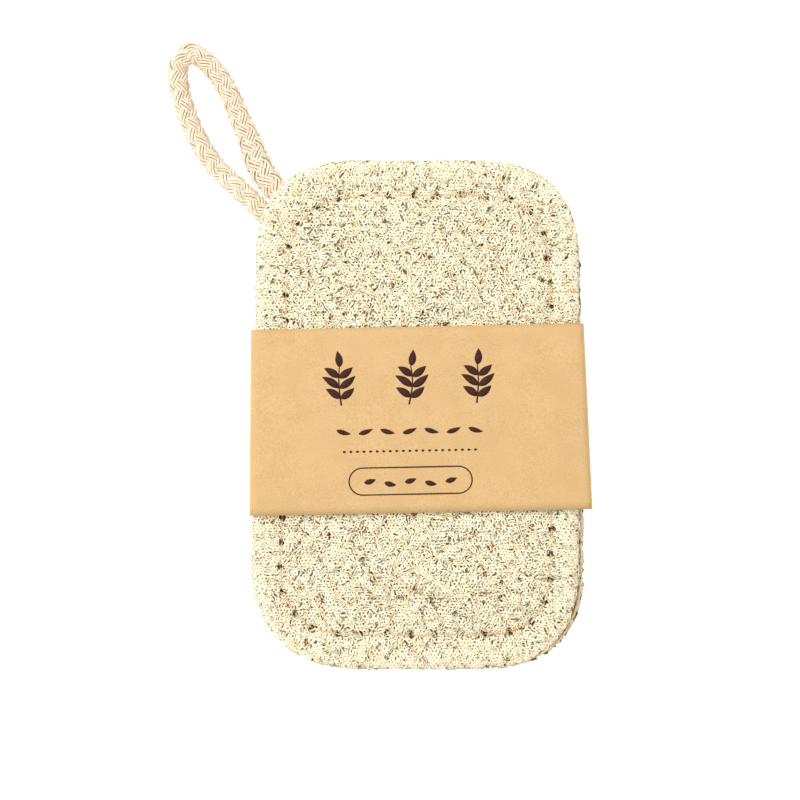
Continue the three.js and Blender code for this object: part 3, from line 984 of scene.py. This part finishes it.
def sprig(parts, centre, height, lean):
    """Adds an upright sprig: a stem with three pairs of leaves and one at its tip."""
    share = np.linspace(0, 1, 15)
    bend = lean * np.sin(math.pi * share)
    stem = np.stack([centre[0] + bend, centre[1] + height * (share - 0.55)], axis=1)
    ribbon(parts, stem[:12], 0.42 - 0.2 * share[:12])
    leaf(parts, stem[11], math.pi / 2 - 0.2 * lean, 0.34 * height, 0.15 * height)
    for place, length in ((2, 0.36), (5, 0.42), (8, 0.36)):
        for side in (1, -1):
            leaf(parts, stem[place], math.pi / 2 - side * 0.95, length * height, 0.15 * height)


def band_print(material):
    """A plain ornament of leaves and rules on the front of the band."""
    parts = Parts()
    for k in (-1, 0, 1):
        lean = 0.9 * (1 - abs(k)) + 0.5 * k
        sprig(parts, (PRINT_CENTRE + SPRIG_STEP * k, SPRIG_LEVEL), SPRIG_HEIGHT, lean)
    for k in range(-3, 4):
        foot = (PRINT_CENTRE + LEAF_STEP * k - 1.7, LEAF_LEVEL - 0.5 * (-1) ** k)
        leaf(parts, foot, 0.3 * (-1) ** k, length=3.6, width=1.1)
    for k in range(-10, 11):
        leaf(parts, (PRINT_CENTRE + DOT_STEP * k - 0.4, DOT_LEVEL), 0.0, length=0.8, width=0.5)
    turn = np.linspace(0, math.pi, 16)[:, None]
    arc = PILL_HEIGHT / 2 * np.concatenate([np.sin(turn), np.cos(turn)], axis=1)
    reach = np.array(((PILL_WIDTH - PILL_HEIGHT) / 2, 0))
    pill = np.concatenate([arc + reach, -arc - reach]) + (PRINT_CENTRE, PILL_LEVEL)
    ribbon(parts, pill, 0.32, closed=True)
    for k in range(-2, 3):
        foot = (PRINT_CENTRE + PILL_LEAF_STEP * k - 1.4, PILL_LEVEL - 0.3)
        leaf(parts, foot, 0.25 * (-1) ** k, length=2.9, width=1.2)
    return parts.piece("paper_band_print", material, "paper", "paper_band")


def linear(red, green, blue):
    """A colour as shown on screen, 0 to 255, as the light it stands for."""
    def channel(value):
        value = value / 255
        return value / 12.92 if value <= 0.04045 else ((value + 0.055) / 1.055) ** 2.4
    return (channel(red), channel(green), channel(blue), 1)


class Shader:
    """A node material that is built up from a principled shader."""

    def __init__(self, name):
        self.material = bpy.data.materials.new(name)
        self.material.use_nodes = True
        self.tree = self.material.node_tree
        self.surface = self.tree.nodes["Principled BSDF"]

    def node(self, kind, **inputs):
        made = self.tree.nodes.new(kind)
        for key, value in inputs.items():
            made.inputs[key.replace("_", " ")].default_value = value
        return made

    def link(self, source, output, target, socket):
        self.tree.links.new(source.outputs[output], target.inputs[socket])

    def place(self):
        return self.node("ShaderNodeTexCoord")

    def tone(self):
        made = self.node("ShaderNodeAttribute")
        made.attribute_name = "tone"
        return made

    def noise(self, scale, detail, roughness=0.6):
        made = self.node("ShaderNodeTexNoise", Scale=scale, Detail=detail, Roughness=roughness)
        self.link(self.place(), "Object", made, "Vector")
        return made

    def ramp(self, source, output, stops):
        made = self.node("ShaderNodeValToRGB")
        elements = made.color_ramp.elements
        while len(elements) < len(stops):
            elements.new(0.5)
        for element, (place, colour) in zip(elements, stops):
            element.position = place
            element.color = colour
        self.link(source, output, made, "Fac")
        return made

    def tint(self, base, detail, share):
        """Multiplies a colour by a second one."""
        made = self.tree.nodes.new("ShaderNodeMix")
        made.data_type = "RGBA"
        made.blend_type = "MULTIPLY"
        made.inputs["Factor"].default_value = share
        self.tree.links.new(base.outputs["Color"], made.inputs["A"])
        self.tree.links.new(detail.outputs["Color"], made.inputs["B"])
        return made

    def rough(self, source, output, low, high):
        made = self.node("ShaderNodeMapRange", To_Min=low, To_Max=high)
        self.link(source, output, made, "Value")
        self.link(made, "Result", self.surface, "Roughness")

    def bump(self, source, output, strength, distance):
        made = self.node("ShaderNodeBump", Strength=strength, Distance=distance)
        self.link(source, output, made, "Height")
        self.link(made, "Normal", self.surface, "Normal")

    def colour(self, mixed):
        self.tree.links.new(mixed.outputs["Result"], self.surface.inputs["Base Color"])


def fibre_material(name, stops):
    """Dry plant fibre: a tone of its own for each fibre, lower where the bars of a net carry painted
    shade, with blotches, streaks and a grain.
    """
    shader = Shader(name)
    base = shader.ramp(shader.tone(), "Fac", stops)
    blotch = shader.noise(420, 4)
    shade = shader.ramp(blotch, "Fac", [(0.25, linear(236, 218, 184)), (0.5, linear(255, 255, 255))])
    shader.colour(shader.tint(base, shade, 0.4))
    grain = shader.noise(5200, 3)
    shader.rough(grain, "Fac", 0.55, 0.85)
    shader.bump(grain, "Fac", 0.5, 0.00012)
    shader.surface.inputs["Specular IOR Level"].default_value = 0.3
    return shader.material


def mat_material():
    """The felted inside of the sheet: tan fibre with painted shade, small dark brown pore spots and
    near-black needle holes.
    """
    shader = Shader("loofah_mat")
    wander = shader.noise(700, 3)
    cells = shader.node("ShaderNodeTexVoronoi", Scale=1050.0)
    shift = shader.tree.nodes.new("ShaderNodeMix")
    shift.data_type = "VECTOR"
    shift.inputs["Factor"].default_value = 0.0012
    shader.tree.links.new(shader.place().outputs["Object"], shift.inputs["A"])
    shader.tree.links.new(wander.outputs["Color"], shift.inputs["B"])
    shader.link(shift, "Result", cells, "Vector")
    # Painted shade: dark brown at the middle of each pore spot, tan between them
    stops = [
        (0.0, linear(76, 44, 18)), (0.2, linear(132, 88, 44)),
        (0.4, linear(186, 140, 82)), (0.75, linear(224, 184, 126)),
    ]
    pores = shader.ramp(cells, "Distance", stops)
    # Painted shade: near-black where the tone drops in the needle-hole pits
    holes = shader.ramp(shader.tone(), "Fac", [(0.1, linear(34, 18, 8)), (0.75, linear(255, 255, 255))])
    shader.colour(shader.tint(pores, holes, 1.0))
    shader.rough(wander, "Fac", 0.7, 0.95)
    shader.bump(cells, "Distance", 0.8, 0.0004)
    return shader.material


def cotton_material(name, low, high, twist):
    """Spun cotton: soft tone changes, a fine twist in the bump and a slight sheen."""
    shader = Shader(name)
    base = shader.ramp(shader.tone(), "Fac", [(0.3, low), (0.8, high)])
    blotch = shader.noise(900, 5)
    shade = shader.ramp(blotch, "Fac", [(0.3, linear(226, 208, 176)), (0.6, linear(255, 255, 255))])
    shader.colour(shader.tint(base, shade, 0.7))
    fuzz = shader.noise(twist, 4, 0.75)
    shader.rough(fuzz, "Fac", 0.7, 0.95)
    shader.bump(fuzz, "Fac", 0.6, 0.00015)
    shader.surface.inputs["Sheen Weight"].default_value = 0.25
    shader.surface.inputs["Specular IOR Level"].default_value = 0.25
    return shader.material


def paper_material():
    """Uncoated kraft paper: fine fibre specks, a soft cloudiness and a dry tooth."""
    shader = Shader("kraft_paper")
    cloud = shader.noise(160, 3)
    base = shader.ramp(cloud, "Fac", [(0.35, linear(221, 184, 130)), (0.65, linear(226, 189, 136))])
    speck = shader.noise(4200, 4, 0.8)
    shade = shader.ramp(speck, "Fac", [(0.32, linear(196, 166, 132)), (0.56, linear(255, 255, 255))])
    shader.colour(shader.tint(base, shade, 0.58))
    shader.rough(speck, "Fac", 0.75, 0.95)
    shader.bump(speck, "Fac", 0.25, 0.00008)
    shader.surface.inputs["Specular IOR Level"].default_value = 0.2
    return shader.material


def ink_material():
    """Brown ink on paper: slightly uneven in tone and a little smoother than the paper."""
    shader = Shader("brown_ink")
    tooth = shader.noise(4200, 4, 0.8)
    base = shader.ramp(tooth, "Fac", [(0.3, linear(92, 56, 42)), (0.55, linear(58, 30, 24))])
    cloud = shader.noise(700, 3)
    shade = shader.ramp(cloud, "Fac", [(0.3, linear(220, 210, 205)), (0.6, linear(255, 255, 255))])
    shader.colour(shader.tint(base, shade, 0.6))
    shader.rough(tooth, "Fac", 0.6, 0.85)
    shader.bump(tooth, "Fac", 0.2, 0.00006)
    shader.surface.inputs["Specular IOR Level"].default_value = 0.2
    return shader.material


def shown_above(places):
    """Places on the loop's side of the paper band, as far as they can be seen."""
    return band_frame(places)[:, 1] > BAND_COVER


def shown_below(places):
    """Places on the other side of the paper band, as far as they can be seen."""
    return band_frame(places)[:, 1] < -BAND_COVER


def dress_sheet(sheet, node, spacings, cream, tan, mat, edge):
    """Pieces of one sheet: its outer net in two halves, inner net, loose strands, mat and cut edge."""
    inner = Parts()
    for end, keep in (("top", shown_above), ("foot", shown_below)):
        net = Parts()
        sheet.net(net, spacings[0], 0.0, NET_TONE, keep)
        net.piece(f"{node}_net_{end}", cream, "loofah", node)
        sheet.net(inner, spacings[1], INNER_DEPTH, INNER_SHADED_TONE, keep)
    inner.piece(f"{node}_inner", tan, "loofah", node)
    strands = Parts()
    sheet.lay(strands, cover=0.12, depth=-0.02, tone=0.62, radius=0.15)
    sheet.lay(
        strands, cover=0.09, depth=0.0, tone=0.66, radius=0.21,
        step=0.9, wiggle=0.2, groups=BUNDLE_GROUPS,
    )
    strands.piece(f"{node}_strands", cream, "loofah", node)
    bed = Parts()
    sheet.mat(bed)
    bed.piece(f"{node}_mat", mat, "loofah", node)
    rim = Parts()
    sheet.rim_net(rim, RIM_SPACING, RIM_NET_DEPTH, RIM_TONE)
    sheet.rim(rim, RIM_COVER, RIM_TONE)
    rim.piece(f"{node}_rim", edge, "loofah", node)


def loofah(cream, tan, mat):
    """Both sheets; the back one's cut edge, which shows past the front one, is tan."""
    front = Sheet(FRONT_CORNERS, 1, FRONT_SEED)
    back = Sheet(BACK_CORNERS, -1, BACK_SEED)
    dress_sheet(front, "loofah_front", FRONT_SPACINGS, cream, tan, mat, edge=cream)
    dress_sheet(back, "loofah_back", BACK_SPACINGS, cream, tan, mat, edge=tan)
    return front, back


def stage():
    bpy.ops.mesh.primitive_plane_add(size=6, location=(0, 0, -0.0001))
    floor = bpy.context.object
    floor.name = "floor"
    shader = Shader("floor_white")
    shader.surface.inputs["Base Color"].default_value = (0.93, 0.93, 0.93, 1)
    shader.surface.inputs["Roughness"].default_value = 0.9
    shader.surface.inputs["Emission Color"].default_value = (1, 1, 1, 1)
    shader.surface.inputs["Emission Strength"].default_value = FLOOR_GLOW
    floor.data.materials.append(shader.material)


def camera():
    data = bpy.data.cameras.new("camera")
    data.lens = CAMERA_LENS
    data.sensor_width = 36
    data.clip_start = 0.01
    made = bpy.data.objects.new("camera", data)
    made.location = CAMERA_PLACE
    bpy.context.scene.collection.objects.link(made)
    bpy.context.scene.camera = made


def lights():
    scene = bpy.context.scene
    scene.view_settings.view_transform = "Standard"
    scene.view_settings.look = "None"
    world = bpy.data.worlds.new("studio")
    world.use_nodes = True
    world.node_tree.nodes["Background"].inputs["Color"].default_value = (1, 1, 1, 1)
    world.node_tree.nodes["Background"].inputs["Strength"].default_value = WORLD_LIGHT
    scene.world = world
    key = bpy.data.lights.new("key", "AREA")
    key.energy = KEY_ENERGY
    key.size = KEY_SIZE
    lamp = bpy.data.objects.new("key", key)
    lamp.location = KEY_PLACE
    lamp.rotation_euler = KEY_TURN
    scene.collection.objects.link(lamp)


camera()
lights()
stage()
# The cord's low colour shows on the core tube and, as painted shade, on the yarns' inward sides
cotton = cotton_material("cord_cotton", linear(214, 186, 150), linear(250, 238, 217), 3000)
thread = cotton_material("thread_cotton", linear(220, 188, 146), linear(238, 210, 174), 4200)
hang_loop(cotton)
# The brown low end of the cream ramp shows mostly where the bars of a net carry painted shade, under them
# and down their sides
cream_stops = [
    (0.0, linear(186, 132, 74)), (0.22, linear(236, 204, 154)),
    (0.45, linear(255, 245, 213)), (0.75, linear(255, 252, 226)),
]
rim_stops = [(0.0, linear(206, 164, 108)), (0.4, linear(246, 220, 172)), (0.9, linear(255, 240, 204))]
front, back = loofah(
    fibre_material("loofah_cream", cream_stops), fibre_material("loofah_tan", rim_stops), mat_material(),
)
seam_thread(front, "seam_thread_front_twist", thread, "seam_thread_front")
seam_thread(back, "seam_thread_back_twist", thread, "seam_thread_back")
paper_band(paper_material())
band_print(ink_material())
